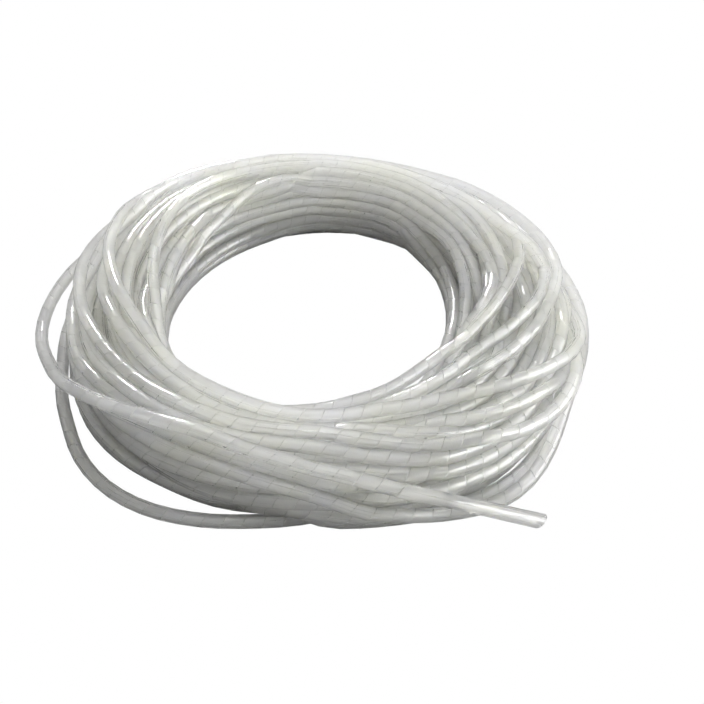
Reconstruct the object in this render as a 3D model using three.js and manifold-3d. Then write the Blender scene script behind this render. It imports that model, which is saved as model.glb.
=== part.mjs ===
// A coil of spiral cable wrap: one length of natural polyethylene strip, extruded as a tube, slit along a helix
// and wound by hand into a flat, untied coil of about 42 turns.
// Most turns lie packed in a bundle round an open eye. Two turns have sprung loose on one side, and the outer
// end sticks out in front.
//
// Units are millimetres, +Z is up, and the coil lies on the plane z = 0. Angles round the eye are in degrees
// from +X, and -Y is the front, where the free end is.

import * as THREE from "three";
import { mergeVertices } from "three/addons/utils/BufferGeometryUtils.js";
import Module from "manifold-3d";

// Driving dimensions
const WRAP_DIAMETER = 6.35;
const EYE_CENTRE = new THREE.Vector2(13.1, 7.2);

// The packed bundle, at equal angles round the eye: its inner radius, outer radius and height. The turns lie
// tight and high at the back, fan out on the right and sag in front.
const BUNDLE = [
  { angle: 0, inner: 61, outer: 134, height: 38 },
  { angle: 30, inner: 65, outer: 129, height: 40 },
  { angle: 60, inner: 74, outer: 121, height: 43.5 },
  { angle: 90, inner: 78, outer: 117, height: 48 },
  { angle: 120, inner: 80, outer: 125, height: 51 },
  { angle: 150, inner: 83, outer: 138, height: 52 },
  { angle: 180, inner: 88, outer: 141, height: 52 },
  { angle: 210, inner: 91, outer: 143, height: 49 },
  { angle: 240, inner: 84, outer: 131, height: 45 },
  { angle: 270, inner: 71, outer: 127, height: 41 },
  { angle: 300, inner: 64, outer: 137, height: 38 },
  { angle: 330, inner: 60, outer: 135, height: 37 },
];

// The outline of the bundle's section, and the rows of turns that show on it
const TOP_SQUARENESS = 2.5;
const FLOOR_SQUARENESS = 4;
const SHOWN_TURNS = 26;
const TURN_SHOULDER = 0.28;
const GROOVE_DEPTH = 0.22 * WRAP_DIAMETER;
const FLOOR_CONTACT = 1;
const SEGMENTS_ROUND = 52;

// Facets of a loose turn
const TUBE_SIDES = 10;
const TUBE_STEP = 2 * WRAP_DIAMETER;

// The loose turns and the free end. Each starts and ends inside the bundle, apart from the cut end.
const UPPER_LOOSE_TURN = [
  [-122, 52, 24],
  [-135, 38, 27],
  [-146, 22, 25.5],
  [-155, 6, 20.5],
  [-157.5, -11, 17.5],
  [-152, -28, 19.5],
  [-143, -44, 24.5],
  [-130, -64, 34],
  [-112, -81, 43],
  [-96, -91, 46],
  [-78, -97, 44],
  [-60, -98, 38],
];
const LOWER_LOOSE_TURN = [
  [-124, 36, 15],
  [-136, 20, 15],
  [-143, 2, 13],
  [-144.5, -17, 10],
  [-142.7, -33, 6.8],
  [-139, -51.5, 3.8],
  [-131.8, -68.2, 3.3],
  [-121.6, -87, 3.3],
  [-105.8, -103.3, 3.3],
  [-86.2, -114.3, 3.3],
  [-62, -120.3, 3.3],
  [-38, -121.3, 3.3],
  [-14, -119.5, 3.5],
  [8, -114.5, 5],
  [28, -106, 9],
];
const FREE_END = [
  [-22, -102, 35],
  [-2, -116, 38],
  [18, -124.5, 39],
  [35, -128, 36.5],
  [49, -128, 31],
  [63, -126.5, 23],
  [74, -124.5, 15.5],
  [84, -122.5, 8.5],
  [94, -121.5, 3.6],
];

const wasm = await Module();
wasm.setup();

const polyethylene = new THREE.MeshStandardMaterial({
  color: 0xe4e4de,
  roughness: 0.35,
  metalness: 0,
});

// A quantity of BUNDLE at any angle, on a smooth closed curve through the stations.
function bundleAt(angle, quantity) {
  const spacing = 360 / BUNDLE.length;
  const place = THREE.MathUtils.euclideanModulo(angle, 360) / spacing;
  const station = Math.floor(place);
  const value = (offset) => BUNDLE[THREE.MathUtils.euclideanModulo(station + offset, BUNDLE.length)][quantity];
  const spline = new THREE.SplineCurve([-1, 0, 1, 2].map((offset) => new THREE.Vector2(offset, value(offset))));
  return spline.getPoint((1 + place - station) / 3).y;
}

// The section's outline, from -1 to 1 across the bundle and up it: a rounded top on a flatter foot.
class SectionOutline extends THREE.Curve {
  getPoint(t) {
    const turn = 2 * Math.PI * t;
    const squareness = Math.sin(turn) > 0 ? TOP_SQUARENESS : FLOOR_SQUARENESS;
    const swell = (value) => Math.sign(value) * Math.abs(value) ** (2 / squareness);
    return new THREE.Vector2(swell(Math.cos(turn)), swell(Math.sin(turn)));
  }
}

// The middle station's section, in real size and with a row of turns round it, each one flat between two
// shoulders. The other stations stretch this section to their own width and height.
function grooveProfile(halfWidth, halfHeight) {
  const outline = new SectionOutline();
  outline.arcLengthDivisions = 2000;
  const points = [];
  for (let turn = 0; turn < SHOWN_TURNS; turn++) {
    for (const offset of [-0.5, -TURN_SHOULDER, TURN_SHOULDER]) {
      const along = THREE.MathUtils.euclideanModulo((turn + offset) / SHOWN_TURNS, 1);
      const point = outline.getPointAt(along).multiply(new THREE.Vector2(halfWidth, halfHeight));
      point.y += halfHeight;
      if (offset === -0.5) {
        const middle = new THREE.Vector2(0, halfHeight);
        point.addScaledVector(middle.sub(point).normalize(), GROOVE_DEPTH);
      } else if (point.y < FLOOR_CONTACT) {
        point.y = 0;
      }
      points.push(point);
    }
  }
  return points;
}

// The packed turns: a ring turned from the middle section, then stretched to the stations round the eye.
function bundleGeometry() {
  const mean = (quantity) => BUNDLE.reduce((sum, station) => sum + station[quantity], 0) / BUNDLE.length;
  const radius = (mean("inner") + mean("outer")) / 2;
  const halfWidth = (mean("outer") - mean("inner")) / 2;
  const halfHeight = mean("height") / 2;
  const profile = grooveProfile(halfWidth, halfHeight).map((p) => p.setX(p.x + radius));
  profile.push(profile[0].clone());
  const ring = new THREE.LatheGeometry(profile, SEGMENTS_ROUND).rotateX(Math.PI / 2);
  const position = ring.getAttribute("position");
  for (let i = 0; i < position.count; i++) {
    const [x, y, z] = [position.getX(i), position.getY(i), position.getZ(i)];
    const angle = THREE.MathUtils.radToDeg(Math.atan2(y, x));
    const across = (Math.hypot(x, y) - radius) / halfWidth;
    const inner = bundleAt(angle, "inner");
    const outer = bundleAt(angle, "outer");
    const stretched = (inner + outer) / 2 + (across * (outer - inner)) / 2;
    const scale = stretched / Math.hypot(x, y);
    position.setXYZ(i, x * scale, y * scale, (z * bundleAt(angle, "height")) / (2 * halfHeight));
  }
  return ring;
}

// A round tube of the wrap's diameter along a route of points.
function tubeGeometry(route) {
  const path = new THREE.CatmullRomCurve3(route.map((point) => new THREE.Vector3(...point)));
  const section = new THREE.Shape();
  section.absarc(0, 0, WRAP_DIAMETER / 2, 0, 2 * Math.PI);
  return new THREE.ExtrudeGeometry(section, {
    steps: Math.round(path.getLength() / TUBE_STEP),
    curveSegments: TUBE_SIDES,
    bevelEnabled: false,
    extrudePath: path,
  });
}

// Solids are joined with manifold-3d, because the coil is one piece of wrap from end to end.
function solidOf(geometry) {
  geometry.deleteAttribute("normal");
  geometry.deleteAttribute("uv");
  const merged = mergeVertices(geometry, 1e-3);
  return new wasm.Manifold(
    new wasm.Mesh({
      numProp: 3,
      vertProperties: merged.getAttribute("position").array,
      triVerts: new Uint32Array(merged.index.array),
    }),
  );
}

function geometryOf(solid) {
  const mesh = solid.getMesh();
  const geometry = new THREE.BufferGeometry();
  geometry.setAttribute("position", new THREE.BufferAttribute(mesh.vertProperties, 3));
  geometry.setIndex(new THREE.BufferAttribute(mesh.triVerts, 1));
  geometry.computeVertexNormals();
  return geometry;
}

function spiralWrapCoil() {
  const looseTurns = [UPPER_LOOSE_TURN, LOWER_LOOSE_TURN, FREE_END].map(tubeGeometry).map(solidOf);
  const joined = looseTurns.reduce((sum, turn) => sum.add(turn), solidOf(bundleGeometry()));
  const coil = new THREE.Mesh(geometryOf(joined), polyethylene);
  coil.name = "spiral_wrap_coil";
  coil.position.set(EYE_CENTRE.x, EYE_CENTRE.y, 0);
  return coil;
}

const part = new THREE.Group();
part.add(spiralWrapCoil());

export default part;
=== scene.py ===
# %% [markdown]
# # A coil of natural spiral cable wrap
#
# Spiral wrap is a polyethylene tube that is slit along a helix after it is extruded, so that it can be wound
# round a bundle of cables. It is sold as one long length, wound by hand into a flat coil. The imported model
# gives the coil's size as one solid. This script winds the real strip inside it, and lights it as a product
# photographed on white.

# %% Load the frame
import math

import bpy
import numpy as np
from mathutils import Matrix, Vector


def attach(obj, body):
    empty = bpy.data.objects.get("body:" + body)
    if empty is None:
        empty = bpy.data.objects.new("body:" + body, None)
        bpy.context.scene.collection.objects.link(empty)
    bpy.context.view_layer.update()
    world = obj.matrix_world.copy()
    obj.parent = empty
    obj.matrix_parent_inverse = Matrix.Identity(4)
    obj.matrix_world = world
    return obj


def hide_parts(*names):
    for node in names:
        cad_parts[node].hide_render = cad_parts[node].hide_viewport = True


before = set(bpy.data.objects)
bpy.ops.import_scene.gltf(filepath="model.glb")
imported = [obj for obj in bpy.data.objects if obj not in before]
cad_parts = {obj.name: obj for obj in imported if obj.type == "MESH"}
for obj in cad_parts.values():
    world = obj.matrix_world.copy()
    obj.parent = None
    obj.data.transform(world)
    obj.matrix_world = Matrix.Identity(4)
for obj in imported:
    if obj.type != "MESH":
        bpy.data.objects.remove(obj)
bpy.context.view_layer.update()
COIL_NODE = "spiral_wrap_coil"
BODY = "root"
MM = 0.001

# %% [markdown]
# ## Camera
#
# The picture is taken from in front and above, close enough that the front turns look a third thicker than
# the back ones. The camera is placed by its angle and its distance from a spot on the floor behind the middle
# of the eye, and a small shift sets where that spot falls in the picture.

# %% Camera
EYE_CENTRE = Vector((13.1, 7.2, 0)) * MM
CAMERA_SPOT = EYE_CENTRE + Vector((0, 21.6, 0)) * MM
CAMERA_DISTANCE = 441 * MM
CAMERA_ELEVATION = math.radians(44)
LENS = 38.7

camera_data = bpy.data.cameras.new("camera")
camera_data.lens = LENS
camera_data.shift_x = 0.0246
camera_data.shift_y = -0.0693
camera = bpy.data.objects.new("camera", camera_data)
bpy.context.scene.collection.objects.link(camera)
towards_camera = Vector((0, -math.cos(CAMERA_ELEVATION), math.sin(CAMERA_ELEVATION)))
camera.location = CAMERA_SPOT + CAMERA_DISTANCE * towards_camera
camera.rotation_euler = (-towards_camera).to_track_quat("-Z", "Y").to_euler()
bpy.context.scene.camera = camera
print("camera", [round(c / MM) for c in camera.location], "mm")

# %% [markdown]
# ## The bundle's section
#
# A hand-wound coil isn't an even ring. Here the turns are gripped tight and high at the back, fan out on the
# right, and sag in front. The section is measured at twelve stations round the eye, as its inner radius,
# outer radius and height, and a smooth closed curve through the stations gives it at any angle.

# %% Section of the bundle
WRAP_DIAMETER = 6.35 * MM
STATIONS = np.array(
    [
        (61, 134, 38),
        (65, 129, 40),
        (74, 121, 43.5),
        (78, 117, 48),
        (80, 125, 51),
        (83, 138, 52),
        (88, 141, 52),
        (91.5, 143, 49),
        (85.5, 131, 45),
        (71.5, 127, 41),
        (65, 137, 38),
        (61, 135, 37),
    ]
)
TOP_SQUARENESS = 2.5
FLOOR_SQUARENESS = 4


def spline_through(values, place):
    """Catmull-Rom curve through rows of values, at a place counted in rows, which may be an array."""
    row = np.clip(np.floor(place).astype(int), 1, len(values) - 3)
    part = (place - row)[..., None]
    before, start, end, after = (values[row + offset] for offset in (-1, 0, 1, 2))
    return 0.5 * (
        2 * start
        + (end - before) * part
        + (2 * before - 5 * start + 4 * end - after) * part**2
        + (3 * start - before - 3 * end + after) * part**3
    )


def bundle_at(angle):
    """Mid radius, half width and half height of the bundle at angles in turns, in metres."""
    ring = np.vstack([STATIONS[-1:], STATIONS, STATIONS[:2]]) * MM
    inner, outer, height = spline_through(ring, 1 + (angle % 1) * len(STATIONS)).T
    return (inner + outer) / 2, (outer - inner) / 2, height / 2


print("the bundle is", np.round(bundle_at(np.array([0.25]))[2] * 2 / MM), "mm high at the back")

# %% [markdown]
# ## The route of the strand
#
# The whole coil is one strand, so it is laid as one curve, turn after turn. Two kinds of points lead it. The
# turns that anyone can see lying on top, or sprung loose, pass through listed points. The hidden
# turns drift about the section at random, as they do when wrap is wound over a hand. The strand's place is
# counted in turns, so its fraction is the angle round the eye.

# %% Turns that are led through given points
TURNS = 42
# angle in degrees, radius and height in millimetres, and the turn where each run starts
LED_RUNS = {
    "outer_left_then_front": (
        TURNS - 4,
        [(150, 134.5, 34), (170, 135.5, 39.5), (189, 130, 45), (201, 125, 45), (222, 114, 43), (247, 105, 41)]
        + [(269, 97, 38), (286, 106, 36), (304, 119, 33), (321, 129, 27)]
        + [(331, 130, 23.5), (340, 128, 22.5), (348, 125, 21)],
    ),
    "across_left_then_right": (
        TURNS - 8,
        [(148, 132, 42), (167, 126, 47), (176, 119, 49), (186, 112, 49), (195, 105, 46), (203, 101, 43)]
        + [(212, 98, 40), (240, 92, 39), (269, 89, 37), (286, 85, 35), (299, 88, 34), (319, 104, 34)]
        + [(329, 117, 32), (340, 127, 26), (352, 130, 18)],
    ),
    "inner_left_then_right": (
        TURNS - 12,
        [(134, 106, 48), (149, 104, 49), (162, 100, 47), (173, 97, 45), (191, 94, 33), (210, 94, 26)]
        + [(250, 84, 26), (290, 70, 26), (322, 67, 27), (338, 74, 31), (353, 84, 34), (364, 95, 35)]
        + [(377, 111, 34), (392, 120, 28)],
    ),
    "rim_left_back": (
        TURNS - 10,
        [(132, 121.5, 46), (147, 126.5, 45), (158, 129.5, 43.5)]
        + [(168, 131.5, 41.5), (180, 133, 38.5), (193, 135, 33)],
    ),
    "eye_wall_low": (
        TURNS - 26,
        [(300, 73, 5), (330, 69, 5), (345, 68, 5), (360, 68, 5), (380, 70.5, 5), (400, 76, 6), (420, 84, 7)],
    ),
    "eye_wall_middle": (
        TURNS - 28,
        [(305, 71, 12), (330, 65, 12), (345, 64, 12), (360, 64, 13)]
        + [(380, 66.3, 13), (400, 71.5, 14), (415, 78.5, 14)],
    ),
    "eye_wall_high": (
        TURNS - 30,
        [(315, 69.5, 19), (335, 66, 19), (360, 65, 20), (380, 67.8, 20), (400, 73, 21), (415, 79.5, 22)],
    ),
    "eye_wall_left": (
        TURNS - 32,
        [(115, 85, 6), (135, 87.5, 6), (150, 90, 6), (180, 94.5, 6), (210, 97, 7), (235, 92, 10)],
    ),
    "eye_wall_left_above": (
        TURNS - 22,
        [(112, 83.5, 14), (135, 86, 13), (160, 89, 13), (185, 93.5, 13), (208, 95, 14), (228, 91, 16)],
    ),
    "floor_left": (
        TURNS - 34,
        [(160, 134, 5), (180, 136.5, 4), (200, 139, 4), (209, 139.5, 4), (218, 135, 4), (230, 128.7, 4)]
        + [(245, 123.3, 4), (258, 118.7, 4), (270, 115, 5)],
    ),
    "floor_left_above": (
        TURNS - 36,
        [(165, 137, 12), (185, 138, 11), (205, 139.5, 10)]
        + [(220, 133.5, 10), (236, 126.5, 10), (252, 120.5, 11)],
    ),
    "floor_front": (
        TURNS - 38,
        [(256, 119, 13.5), (262, 121.5, 11), (268, 123, 7.5), (273, 122.8, 4.5), (279, 122, 4), (287, 123, 4)]
        + [(296, 127, 4), (304, 130.3, 4), (314, 130.5, 4.5), (323, 129, 4.5), (333, 126.5, 4)]
        + [(343, 127, 4), (352, 126, 5)],
    ),
    "floor_front_inside": (
        TURNS - 36,
        [(290, 116.5, 4), (300, 122.5, 4), (308, 124, 4)]
        + [(316, 123.5, 4), (324, 121.5, 4), (334, 119.5, 4.5)],
    ),
    "floor_right": (
        TURNS - 34,
        [(345, 75, 4), (360, 75.5, 4), (378, 77.5, 4), (391, 82, 4), (405, 88, 4)],
    ),
    "far_right": (
        TURNS - 40,
        [(335, 129, 9), (343, 131, 9.5), (349, 132.8, 12), (353, 134.3, 14), (357, 134, 16)]
        + [(361, 132, 18.5), (365, 129.5, 21), (372, 125.5, 22), (388, 120, 24)],
    ),
    "shoulder_right": (
        TURNS - 18,
        [(352, 110, 29), (364, 119.5, 30), (369, 123.5, 30), (373, 126.5, 30), (377, 127, 30)]
        + [(383, 126.5, 30.5), (398, 122.5, 33), (415, 116, 36)],
    ),
    "rising_right": (
        TURNS - 16,
        [(322, 78, 30), (332, 86, 33), (349, 100, 34), (359, 113, 33), (370, 121, 28), (384, 123, 20)],
    ),
    "inner_right": (
        TURNS - 20,
        [(318, 78, 18), (332, 70, 21), (345, 69, 26), (360, 70, 30), (377, 72, 32), (398, 78, 34)],
    ),
    "under_front": (
        TURNS - 24,
        [(290, 98, 32), (303, 106, 35), (312, 113, 34), (325, 121, 31), (338, 126, 24), (352, 124, 16)],
    ),
}

# %% [markdown]
# Some stretches aren't packed: the two turns that have sprung out on the left, the free end in front, and
# the lowest turn in front, which bulges to the right. Places on the floor plan with a height lead the first
# three, in millimetres from the middle of the eye, close to those that the solid model uses.

# %% Loose turns and the free end
UPPER_LOOSE_TURN = [
    (-122, 52, 24),
    (-135, 38, 27),
    (-146, 22, 25.5),
    (-155, 6, 20.5),
    (-157.5, -11, 17.5),
    (-152, -28, 19.5),
    (-143, -44, 24.5),
    (-130, -64, 34),
    (-112, -81, 43),
    (-96, -91, 47),
    (-78, -98, 48),
]
ACROSS_THE_FRONT = [
    (-62, -103, 48),
    (-38, -112, 46),
    (-14, -118.5, 43),
]
FREE_END = [
    (6, -122.5, 40.5),
    (20, -125.5, 38.5),
    (35, -128, 36),
    (49, -128, 31),
    (63, -126.5, 23),
    (74, -124.5, 15.5),
    (84, -122.5, 8.5),
    (94, -121.5, 3.6),
]
LOWER_LOOSE_TURN = [
    (-124, 36, 15),
    (-136, 20, 15),
    (-143, 2, 13),
    (-144.5, -17, 10),
    (-142.7, -33, 6.8),
    (-139, -51.5, 3.8),
    (-131.8, -68.2, 3.3),
    (-121.6, -87, 3.3),
    (-105.8, -103.3, 3.3),
    (-86.2, -114.3, 3.3),
    (-62, -120.3, 3.3),
    (-38, -121.3, 3.3),
    (-14, -119.5, 3.5),
    (8, -114.5, 5),
    (28, -106, 9),
]
# angle in degrees, radius and height in millimetres
BULGING_TURN = [
    (225, 130, 34),
    (235, 127, 35),
    (251, 123, 33),
    (269, 124, 25),
    (276, 127, 19),
    (283, 128.2, 14.5),
    (290, 129.5, 9.5),
    (297, 132.2, 7),
    (303, 135.2, 6.5),
    (310, 136.3, 8),
    (316, 134.8, 10),
    (322, 132.3, 12.5),
    (329, 129.8, 15),
    (342, 129, 18),
]


def run_from_places(turn, places):
    """The same places as rows of strand place in turns, radius and height, with the angle going up."""
    x, y, z = np.array(places).T
    angle = np.degrees(np.arctan2(y, x)) % 360
    return np.column_stack([turn + angle / 360, np.hypot(x, y) * MM, z * MM])


def run_from_angles(turn, points):
    """A led run as rows of strand place in turns, radius and height."""
    angle, radius, height = np.array(points, float).T
    return np.column_stack([turn + angle / 360, radius * MM, height * MM])


runs = [run_from_angles(*run) for run in LED_RUNS.values()]
runs.append(run_from_angles(TURNS - 6, BULGING_TURN))
runs.append(run_from_places(TURNS - 2, LOWER_LOOSE_TURN))
runs.append(run_from_places(TURNS - 1, UPPER_LOOSE_TURN + ACROSS_THE_FRONT + FREE_END))
strand_end = runs[-1][-1, 0]
print(len(runs), "runs are led by hand; the strand ends after", round(strand_end, 2), "turns")

# %% [markdown]
# Between the led runs, the strand wanders. Six times a turn it takes a new place in the section, not far from
# its last one and hardly at all round the tight back. The walk is made in a unit disc, and turned back at the
# rim to keep the section full. Besides, the whole bundle is twisted: on the left its upper turns roll
# inwards, and on the right they roll out again, which lays them in the slanting rows that a coil shows.

# %% The wandering turns
# angle in degrees, and how far the strand may have moved in the unit disc since the angle before
WANDER_LEGS = [(20, 0.5), (75, 0.2), (120, 0.1), (165, 0.2), (225, 0.25), (290, 0.35)]
RIM = 1.0
# the roll of the section in degrees at angles in degrees, from the back round by the left, front and right
ROLL = [(0, 18), (25, 0), (130, 0), (180, 45), (235, 105), (275, 100), (310, 70), (345, 33), (360, 18)]
WANDER_STEPS_PER_TURN = 24
LEAD_IN = 0.35
random = np.random.default_rng(11)


def smooth_curve(points, places):
    """Cubic curve through rows of place, radius and height, with each point's slope from its neighbours."""
    known = points[:, 0]
    gaps = np.diff(known)
    chords = np.diff(points[:, 1:], axis=0) / gaps[:, None]
    weight = (gaps[1:] / (gaps[1:] + gaps[:-1]))[:, None]
    slopes = np.vstack([chords[:1], weight * chords[:-1] + (1 - weight) * chords[1:], chords[-1:]])
    span = np.clip(np.searchsorted(known, places, side="right") - 1, 0, len(gaps) - 1)
    width = gaps[span][:, None]
    part = (places[:, None] - known[span][:, None]) / width
    start, end = points[span, 1:], points[span + 1, 1:]
    return (
        (1 + 2 * part) * (1 - part) ** 2 * start
        + part * (1 - part) ** 2 * width * slopes[span]
        + part**2 * (3 - 2 * part) * end
        + part**2 * (part - 1) * width * slopes[span + 1]
    )


def outline_reach(across, up):
    """How far the section's outline is from its middle in a direction, in half widths and heights."""
    squareness = np.where(up > 0, TOP_SQUARENESS, FLOOR_SQUARENESS)
    size = np.hypot(across, up) + 1e-9
    return (np.abs(across / size) ** squareness + np.abs(up / size) ** squareness) ** (-1 / squareness)


def wandering_walk():
    """Strand places in turns, each with its place in the unit disc."""
    angles, moves = np.array(WANDER_LEGS).T
    places = (np.arange(-1, TURNS + 1)[:, None] + angles / 360).ravel()
    walk = np.zeros((len(places), 2))
    here = np.zeros(2)
    for index in range(len(places)):
        buried_start = min(1, index / 12)
        here = here + random.normal(size=2) * moves[index % len(moves)] * buried_start
        reach = np.hypot(*here)
        if reach > RIM:
            here = here * (2 * RIM - min(reach, 1.6 * RIM)) / reach
        walk[index] = here
    return np.column_stack([places, walk])


def section_at(places):
    """The section's roll, mid radius and height, and its half sizes as the strand's middle sees them."""
    roll = np.radians(np.interp(places % 1 * 360, *np.array(ROLL).T))
    radius, half_width, half_height = bundle_at(places)
    return roll, radius, half_height, half_width - WRAP_DIAMETER / 2, half_height - WRAP_DIAMETER / 2


def to_section(places, walk):
    """Radius and height for places in turns with their place in the unit disc."""
    roll, radius, middle, half_width, half_height = section_at(places)
    across = walk[:, 0] * np.cos(roll) - walk[:, 1] * np.sin(roll)
    up = walk[:, 0] * np.sin(roll) + walk[:, 1] * np.cos(roll)
    reach = outline_reach(across, up)
    return np.column_stack([radius + across * reach * half_width, middle + up * reach * half_height])


def to_disc(point):
    """The place in the unit disc of one point that has its place in turns, radius and height."""
    roll, radius, middle, half_width, half_height = section_at(point[0])
    across, up = (point[1] - radius) / half_width, (point[2] - middle) / half_height
    reach = outline_reach(across, up)
    across, up = across / reach, up / reach
    return np.array([across * np.cos(roll) + up * np.sin(roll), up * np.cos(roll) - across * np.sin(roll)])


def wandering_points():
    """Points on the wandering strand, bent towards each led run before it begins and after it ends."""
    places = np.arange(TURNS * WANDER_STEPS_PER_TURN) / WANDER_STEPS_PER_TURN
    walk = smooth_curve(wandering_walk(), places)
    for run in runs:
        for point, side in ((run[0], -1), (run[-1], 1)):
            outside = (places - point[0]) * side
            pull = np.where(outside >= 0, np.exp(-((outside / LEAD_IN) ** 2)), 0)[:, None]
            here = walk[np.argmin(np.abs(places - point[0]))]
            walk = walk + pull * (to_disc(point) - here)
    reach = np.hypot(*walk.T)[:, None]
    walk = walk / np.maximum(reach, 1)
    return np.column_stack([places, to_section(places, walk)])


def lead_with_runs(points):
    """The wandering points, with those near a led run left out and the run put in their place."""
    margin = 0.08
    for run in runs:
        near = (points[:, 0] > run[0, 0] - margin) & (points[:, 0] < run[-1, 0] + margin)
        points = points[~near]
    points = np.vstack([points, *runs])
    points = points[np.argsort(points[:, 0])]
    return points[points[:, 0] <= strand_end]


leading_points = lead_with_runs(wandering_points())
print(len(leading_points), "points lead the strand")

# %% [markdown]
# A smooth curve goes through those points. It is sampled at the same angles on every turn, which makes the
# next step simple: at each angle, the turns are discs in one flat section.

# %% Sample the strand
STEPS_PER_TURN = 96


first_step = math.ceil(leading_points[0, 0] * STEPS_PER_TURN)
last_step = math.floor(strand_end * STEPS_PER_TURN)
steps = np.arange(first_step, last_step + 1)
strand = smooth_curve(leading_points, steps / STEPS_PER_TURN)
print(len(strand), "samples on the strand")

# %% [markdown]
# ## Settling the turns
#
# As laid, the turns run through each other. They settle by a simple relaxation, repeated some hundreds of
# times: discs that overlap in a section push each other apart, each disc is kept inside the bundle's outline
# and above the floor, and a smoothing along the strand stands for the stiffness of the plastic. The led
# runs hardly give way and may stay as far out as they were laid, and the others make room for them. At the
# end the sharpest bends are eased, which the plastic wouldn't take.

# %% Settle the turns
SETTLING_ROUNDS = 320
STIFFNESS = 0.3
LED_MOBILITY = 0.05
BLEND_STEPS = 9
CLEARANCE = 1.03 * WRAP_DIAMETER
EASING_ROUNDS = 20
SHARPEST_STEP = 0.7 * MM


def mobility():
    """How far each step of the strand gives way: wholly, a little on a led run, not at all where loose."""
    freedom = np.ones(len(steps))
    for number, run in enumerate(runs):
        led = (steps / STEPS_PER_TURN >= run[0, 0]) & (steps / STEPS_PER_TURN <= run[-1, 0])
        freedom[led] = LED_MOBILITY if number < len(LED_RUNS) else 0
    return freedom


def push_apart(discs):
    """How far each disc in each section moves away from those that it overlaps."""
    apart = discs[:, :, None] - discs[:, None]
    distance = np.sqrt((apart**2).sum(-1)) + 1e-9
    overlap = np.clip(CLEARANCE - distance, 0, None)
    overlap[:, np.arange(discs.shape[1]), np.arange(discs.shape[1])] = 0
    return (apart * (overlap / distance)[..., None]).sum(2) * 0.45


def straightening(strand):
    """How far each step would move to lie midway between its neighbours."""
    move = np.zeros_like(strand)
    move[1:-1] = (strand[2:] + strand[:-2]) / 2 - strand[1:-1]
    return move


def reach_in_section(strand, middle, half_size):
    """How far out each step is in its section: 0 in the middle, and 1 where it touches the outline."""
    across, up = ((strand - middle) / half_size).T
    return np.hypot(across, up) / outline_reach(across, up)


def keep_inside(strand, middle, half_size, limit):
    """Brings each step back to its limit of reach, and above the floor."""
    reach = reach_in_section(strand, middle, half_size)
    pull = np.minimum(1, limit / np.maximum(reach, 1e-6))
    inside = middle + (strand - middle) * pull[:, None]
    inside[:, 1] = np.maximum(inside[:, 1], WRAP_DIAMETER / 2)
    return inside


def settle(strand):
    """The strand after the turns have found room beside each other."""
    radius, half_width, half_height = bundle_at(steps / STEPS_PER_TURN)
    middle = np.column_stack([radius, half_height])
    half_size = np.column_stack([half_width, half_height]) - WRAP_DIAMETER / 2
    freedom = mobility()
    # a led run may stay as far out as it was laid, and its neighbours ease back to the outline
    laid = np.where(freedom < 1, reach_in_section(strand, middle, half_size), 1)
    eased = np.convolve(np.maximum(laid, 1), np.ones(BLEND_STEPS) / BLEND_STEPS, mode="same")
    limit = np.maximum(np.maximum(laid, eased), 1)
    slots = TURNS * STEPS_PER_TURN
    for _ in range(SETTLING_ROUNDS):
        table = np.full((slots, 2), 1e3)
        table[slots - 1] = 1e4
        table[np.arange(slots), 0] += np.arange(slots)
        table[steps] = strand
        sections = table.reshape(TURNS, STEPS_PER_TURN, 2).transpose(1, 0, 2)
        move = push_apart(sections).transpose(1, 0, 2).reshape(slots, 2)[steps]
        strand = strand + freedom[:, None] * (move + STIFFNESS * straightening(strand))
        strand = keep_inside(strand, middle, half_size, limit)
    return strand


def ease_kinks(strand):
    """The strand with its sharp bends eased, and the rest of it left alone."""
    for _ in range(EASING_ROUNDS):
        move = straightening(strand)
        off_line = np.linalg.norm(move, axis=1, keepdims=True)
        strand = strand + move * np.clip(1 - SHARPEST_STEP / np.maximum(off_line, 1e-9), 0, 1) / 2
    return strand


strand = ease_kinks(settle(strand))
whole_turns = len(strand) // STEPS_PER_TURN
in_sections = strand[: whole_turns * STEPS_PER_TURN].reshape(whole_turns, STEPS_PER_TURN, 2)
left_over = push_apart(in_sections.transpose(1, 0, 2))
print("push that is left in the worst place", round(float(np.abs(left_over).max() / MM), 2), "mm")

# %% [markdown]
# The settled strand becomes a line of points in space. It is refined with the same kind of curve, so that
# the strip which follows is smooth, and its length is measured along it.

# %% The strand's centreline
REFINE = 3


def in_space(places, radius_and_height):
    """Points in the row frame for places in turns with their radius and height."""
    angle = 2 * np.pi * places
    radius, height = radius_and_height.T
    return np.column_stack([radius * np.cos(angle), radius * np.sin(angle), height]) + np.array(EYE_CENTRE)


fine_places = np.arange(first_step * REFINE, last_step * REFINE + 1) / (STEPS_PER_TURN * REFINE)
padded = np.vstack([strand[:1], strand, strand[-1:], strand[-1:]])
fine_strand = spline_through(padded, 1 + fine_places * STEPS_PER_TURN - first_step)
centreline = in_space(fine_places, fine_strand)
travelled = np.concatenate([[0], np.cumsum(np.linalg.norm(np.diff(centreline, axis=0), axis=1))])
strand_length = travelled[-1]
print("the strand is", round(strand_length, 2), "m long")

# %% [markdown]
# ## The slit strip
#
# The wrap is hollow, with a wall of about a millimetre, and its slit goes round once every 9 mm, in a
# left-hand helix. A bump map couldn't show its hollow cut end or the step at each slit, so the strip is
# real geometry: a ribbon that goes round the centreline, with an outer face, an inner face and two cut
# edges. Its vertices come in rings of four, and numpy works out the whole strand at once.

# %% Measure of the strip
PITCH = 9 * MM
SLIT = 0.3 * MM
SLIT_VARIES = 0.7
WALL = 1 * MM
STEPS_PER_PITCH = 16
PIECES = 5
# at the free end the helix is drawn out, so that the slit runs nearly straight, and it is cut aslant
DRAWN_OUT = 75 * MM
DRAWN_PITCH = 110 * MM
CUT_SLANT = 5 * MM
CUT_FACES = math.radians(120)


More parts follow.
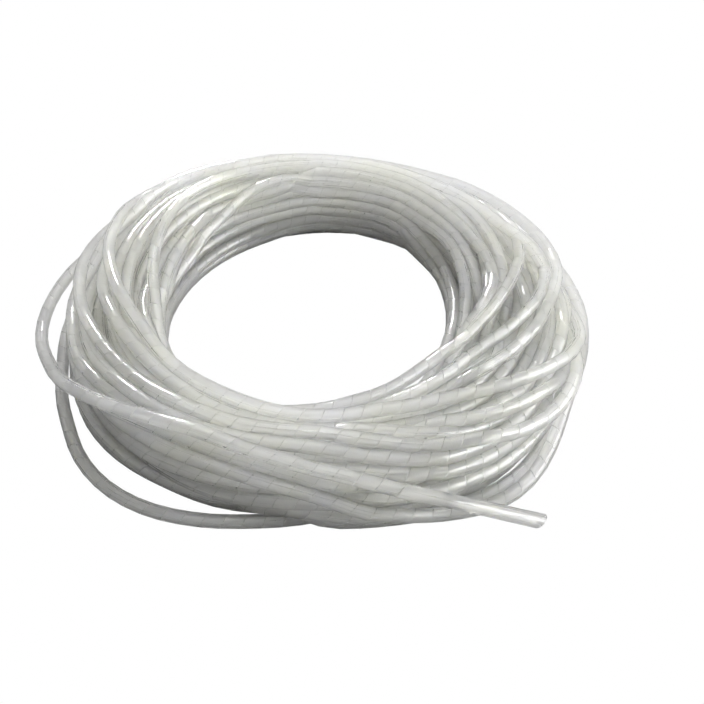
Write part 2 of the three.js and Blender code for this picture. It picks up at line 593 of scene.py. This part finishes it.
def slit_curve():
    """Distance of the slit along the strand for each step of the helix, to well past the free end."""
    even_steps = int((strand_length - DRAWN_OUT) / PITCH * STEPS_PER_PITCH)
    even = np.arange(even_steps) * PITCH / STEPS_PER_PITCH
    growth = np.clip(np.arange(4 * STEPS_PER_PITCH) / STEPS_PER_PITCH, 0, 1)
    drawn = even[-1] + np.cumsum(PITCH + (DRAWN_PITCH - PITCH) * growth) / STEPS_PER_PITCH
    return np.concatenate([even, drawn])


def along_strand(distance):
    """Centreline points with their two cross directions, at distances along the strand."""
    tangent = np.gradient(centreline, travelled, axis=0)
    tangent /= np.linalg.norm(tangent, axis=1)[:, None]
    upward = np.array([0, 0, 1]) - tangent * tangent[:, 2:]
    upward /= np.linalg.norm(upward, axis=1)[:, None]
    sideways = np.cross(tangent, upward)

    def at(values):
        return np.column_stack([np.interp(distance, travelled, column) for column in values.T])

    return at(centreline), at(upward), at(sideways)


slit = slit_curve()
helix_angle = -2 * np.pi * np.arange(len(slit)) / STEPS_PER_PITCH
cut_here = strand_length - CUT_SLANT * (1 + np.cos(helix_angle - CUT_FACES)) / 2
helix_steps = int(np.argmax(slit > cut_here))
print("the helix goes round", round(helix_steps / STEPS_PER_PITCH), "times")

# %% [markdown]
# Each edge of the ribbon follows the slit, one side of it now and the other a whole turn later, so the edges
# stay parallel even where the helix is drawn out. The gap between them is narrow, and opens and closes at
# random along the strand.

# %% Build the strip


def strip_rings(first, last):
    """Rings of four corners, from one step of the helix to another, as three arrays with a row per corner.

    They are the corner's place, the way outward from the centreline, and its mark: the distance along the
    strand and the place in the tube's round section.
    """
    step = np.arange(first, last + 1)
    knots = np.linspace(0, len(slit), len(slit) // 40)
    openings = np.random.default_rng(5).random(len(knots))
    gap = SLIT * (1 - SLIT_VARIES / 2 + SLIT_VARIES * np.interp(step, knots, openings))
    angle = helix_angle[step]
    in_section = np.column_stack([np.cos(angle), np.sin(angle)])
    places, outwards, marks = [], [], []
    for turn_later, depth in ((0, 0), (1, 0), (1, WALL), (0, WALL)):
        distance = slit[step + turn_later * STEPS_PER_PITCH] - (2 * turn_later - 1) * gap / 2
        distance = np.clip(distance, 0, cut_here[step])
        middle, upward, sideways = along_strand(distance)
        outward = upward * in_section[:, :1] + sideways * in_section[:, 1:]
        places.append(middle + outward * (WRAP_DIAMETER / 2 - depth))
        outwards.append(outward)
        marks.append(np.column_stack([distance, in_section * WRAP_DIAMETER / 2]))
    return [np.stack(rows, axis=1).reshape(-1, 3) for rows in (places, outwards, marks)]


def strip_faces(rings):
    """Quads that join each ring of four to the next, and one at each end."""
    ring = np.arange(rings - 1)[:, None] * 4
    corner = np.arange(4)
    after = (corner + 1) % 4
    quads = np.stack([ring + corner, ring + after, ring + 4 + after, ring + 4 + corner], axis=2)
    last = (rings - 1) * 4
    ends = np.array([[0, 3, 2, 1], [last, last + 1, last + 2, last + 3]])
    return np.vstack([quads.reshape(-1, 4), ends])


def mesh_object(name, vertices, faces):
    """A mesh from arrays of vertices and of four-cornered faces."""
    mesh = bpy.data.meshes.new(name)
    mesh.vertices.add(len(vertices))
    mesh.vertices.foreach_set("co", vertices.ravel())
    mesh.loops.add(faces.size)
    mesh.loops.foreach_set("vertex_index", faces.ravel())
    mesh.polygons.add(len(faces))
    mesh.polygons.foreach_set("loop_start", np.arange(len(faces)) * 4)
    mesh.polygons.foreach_set("loop_total", np.full(len(faces), 4))
    mesh.update(calc_edges=True)
    made = bpy.data.objects.new(name, mesh)
    bpy.context.scene.collection.objects.link(made)
    return made


# %% [markdown]
# The ribbon is only one face wide, so each turn of the helix would catch the light as a flat facet. Its outer
# and inner faces are therefore given the normals of a true round tube, and only its cut edges stay flat.

# %% Round normals and marks


def give_round_normals(mesh, faces, outward):
    """Normals straight out on outer faces, straight in on inner ones, and flat on all others."""
    flat = np.zeros(len(faces) * 3)
    mesh.polygons.foreach_get("normal", flat)
    normals = np.repeat(flat.reshape(-1, 1, 3), 4, axis=1)
    around = len(faces) - 2
    for side, sign in ((0, 1), (2, -1)):
        normals[side:around:4] = sign * outward[faces[side:around:4]]
    mesh.normals_split_custom_set(normals.reshape(-1, 3))


def mark_tube(mesh, marks):
    """Keeps each corner's mark, for a finish that follows the tube."""
    tube_place = mesh.attributes.new("tube_place", "FLOAT_VECTOR", "POINT")
    tube_place.data.foreach_set("vector", marks.ravel())


cuts = np.linspace(0, helix_steps, PIECES + 1).astype(int)
wrap_pieces = []
for number, (first, last) in enumerate(zip(cuts[:-1], cuts[1:]), start=1):
    vertices, outward, marks = strip_rings(first, last)
    faces = strip_faces(last - first + 1)
    piece = mesh_object(f"spiral_wrap_length_{number}", vertices, faces)
    give_round_normals(piece.data, faces, outward)
    mark_tube(piece.data, marks)
    wrap_pieces.append((piece, first, last))
    print(piece.name, len(piece.data.polygons) * 2, "triangles")

# %% [markdown]
# ## Natural polyethylene
#
# The wrap is extruded low-density polyethylene with no pigment: milky, because its crystals scatter light,
# but thin enough for light to pass. It is softly glossy, since the tube leaves the die with a smooth skin.

# %% Material helpers


def linear(hex_colour):
    """An sRGB hex colour as linear red, green, blue and alpha."""
    channels = [int(hex_colour[i : i + 2], 16) / 255 for i in (1, 3, 5)]
    return [c / 12.92 if c <= 0.04045 else ((c + 0.055) / 1.055) ** 2.4 for c in channels] + [1]


def add_node(tree, kind, settings=None, **links):
    """Adds a node, sets its properties and sockets, and links its named inputs."""
    node = tree.nodes.new(kind)
    for name, value in (settings or {}).items():
        if name in node.inputs:
            node.inputs[name].default_value = value
        else:
            setattr(node, name, value)
    for name, source in links.items():
        tree.links.new(source, node.inputs[name.replace("_", " ")])
    return node


# %% Extruded natural polyethylene
HAZE_SIZE = 25 * MM
DIE_LINE_SPACING = 0.8 * MM
DIE_LINE_LENGTH = 60 * MM


def natural_polyethylene():
    """Milky polyethylene, with a soft gloss and the fine lines that the die leaves along the tube."""
    material = bpy.data.materials.new("natural_polyethylene")
    material.use_nodes = True
    tree = material.node_tree
    tree.nodes.clear()
    place = add_node(tree, "ShaderNodeTexCoord").outputs["Object"]
    haze = add_node(tree, "ShaderNodeTexNoise", {"Scale": 1 / HAZE_SIZE, "Detail": 3}, Vector=place)
    tint = add_node(tree, "ShaderNodeValToRGB", Fac=haze.outputs["Fac"])
    tint.color_ramp.elements[0].position = 0.35
    tint.color_ramp.elements[0].color = linear("#FEFEFB")
    tint.color_ramp.elements[1].position = 0.65
    tint.color_ramp.elements[1].color = linear("#FEFEFE")
    along = add_node(tree, "ShaderNodeAttribute", {"attribute_name": "tube_place"}).outputs["Vector"]
    stretched = add_node(
        tree,
        "ShaderNodeMapping",
        {"Scale": (1 / DIE_LINE_LENGTH, 1 / DIE_LINE_SPACING, 1 / DIE_LINE_SPACING)},
        Vector=along,
    )
    line_place = stretched.outputs["Vector"]
    lines = add_node(tree, "ShaderNodeTexNoise", {"Scale": 1, "Detail": 2}, Vector=line_place)
    roughness = add_node(
        tree, "ShaderNodeMapRange", {"To Min": 0.24, "To Max": 0.33}, Value=lines.outputs["Fac"]
    )
    bump = add_node(
        tree, "ShaderNodeBump", {"Strength": 0.3, "Distance": 0.04 * MM}, Height=lines.outputs["Fac"]
    )
    surface = add_node(
        tree,
        "ShaderNodeBsdfPrincipled",
        {
            "IOR": 1.04,
            "Transmission Weight": 0.96,
            "Subsurface Weight": 1.0,
            "Subsurface Radius": (1, 1, 0.9),
            "Subsurface Scale": 4 * MM,
            "Coat Weight": 0.5,
            "Coat Roughness": 0.05,
            "Coat IOR": 1.51,
        },
        Base_Color=tint.outputs["Color"],
        Roughness=roughness.outputs["Result"],
        Normal=bump.outputs["Normal"],
    )
    add_node(tree, "ShaderNodeOutputMaterial", Surface=surface.outputs["BSDF"])
    return material


polyethylene = natural_polyethylene()
for piece, first, last in wrap_pieces:
    piece.data.materials.append(polyethylene)
print(polyethylene.name, "on", len(wrap_pieces), "lengths")

# %% [markdown]
# ## Putting the strand in place of the solid
#
# Each length of the strand stands for the solid coil, which is hidden, and is attached to the root
# body. The line that it follows is sampled every 5 mm, and its length is printed.

for piece, first, last in wrap_pieces:
    start = slit[first]
    end = min(slit[last + STEPS_PER_PITCH], strand_length)
    distances = np.linspace(start, end, int((end - start) / (5 * MM)))
    line = along_strand(distances)[0]
    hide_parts(COIL_NODE)
    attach(piece, BODY)
    print(piece.name, round(end - start, 2), "m")

# %% [markdown]
# ## Floor and light
#
# The picture is a plain product shot on white. The floor is pure white to the camera, so that it takes no
# shadow, but it lights the coil from below like a grey table. A white one would wash out the gaps between
# the turns.

# %% Floor
FLOOR_SIDE = 6
FLOOR_DROP = 0.2 * MM
TABLE_COLOUR = "#808080"
bpy.ops.mesh.primitive_plane_add(size=FLOOR_SIDE, location=(0, 0, -FLOOR_DROP))
floor = bpy.context.object
floor.name = "floor"
floor_material = bpy.data.materials.new("white_paper")
floor_material.use_nodes = True
floor_tree = floor_material.node_tree
floor_tree.nodes.clear()
seen = add_node(floor_tree, "ShaderNodeLightPath").outputs["Is Camera Ray"]
table = add_node(floor_tree, "ShaderNodeBsdfDiffuse", {"Color": linear(TABLE_COLOUR)})
white = add_node(floor_tree, "ShaderNodeEmission", {"Color": linear("#FFFFFF"), "Strength": 1.0})
floor_mix = add_node(floor_tree, "ShaderNodeMixShader")
floor_tree.links.new(seen, floor_mix.inputs[0])
floor_tree.links.new(table.outputs[0], floor_mix.inputs[1])
floor_tree.links.new(white.outputs[0], floor_mix.inputs[2])
add_node(floor_tree, "ShaderNodeOutputMaterial", Surface=floor_mix.outputs[0])
floor.data.materials.append(floor_material)
print(floor.name, FLOOR_SIDE, "m wide")

# %% [markdown]
# Three soft boxes make the bright streaks along the turns: a small one behind, whose light also comes through
# the back of the coil, a broad weak one above and one on the right. A white surround fills the rest. Light
# has to pass many walls of wrap before it leaves the bundle, so it may turn many times.

# %% Lights
SURROUND_STRENGTH = 0.76
MOST_BOUNCES = 32
DIFFUSE_BOUNCES = 12
GLOSSY_BOUNCES = 8


def softbox(name, place, size, power):
    """A square area light aimed at the coil."""
    data = bpy.data.lights.new(name, "AREA")
    data.size = size
    data.energy = power
    light = bpy.data.objects.new(name, data)
    bpy.context.scene.collection.objects.link(light)
    light.location = place
    light.rotation_euler = (-Vector(place)).to_track_quat("-Z", "Y").to_euler()
    return light


softbox("back_softbox", place=(-0.25, 1.1, 0.95), size=0.2, power=25)
softbox("overhead_softbox", place=(0.1, 0.0, 1.3), size=1.2, power=11)
softbox("right_softbox", place=(1.0, -0.15, 0.5), size=0.8, power=24)

world = bpy.data.worlds.new("studio")
world.use_nodes = True
world.node_tree.nodes["Background"].inputs["Color"].default_value = linear("#FFFFFF")
world.node_tree.nodes["Background"].inputs["Strength"].default_value = SURROUND_STRENGTH
bpy.context.scene.world = world
bpy.context.scene.view_settings.view_transform = "Standard"
bpy.context.scene.cycles.max_bounces = MOST_BOUNCES
bpy.context.scene.cycles.transmission_bounces = MOST_BOUNCES
bpy.context.scene.cycles.diffuse_bounces = DIFFUSE_BOUNCES
bpy.context.scene.cycles.glossy_bounces = GLOSSY_BOUNCES
print("light turns at most", MOST_BOUNCES, "times")
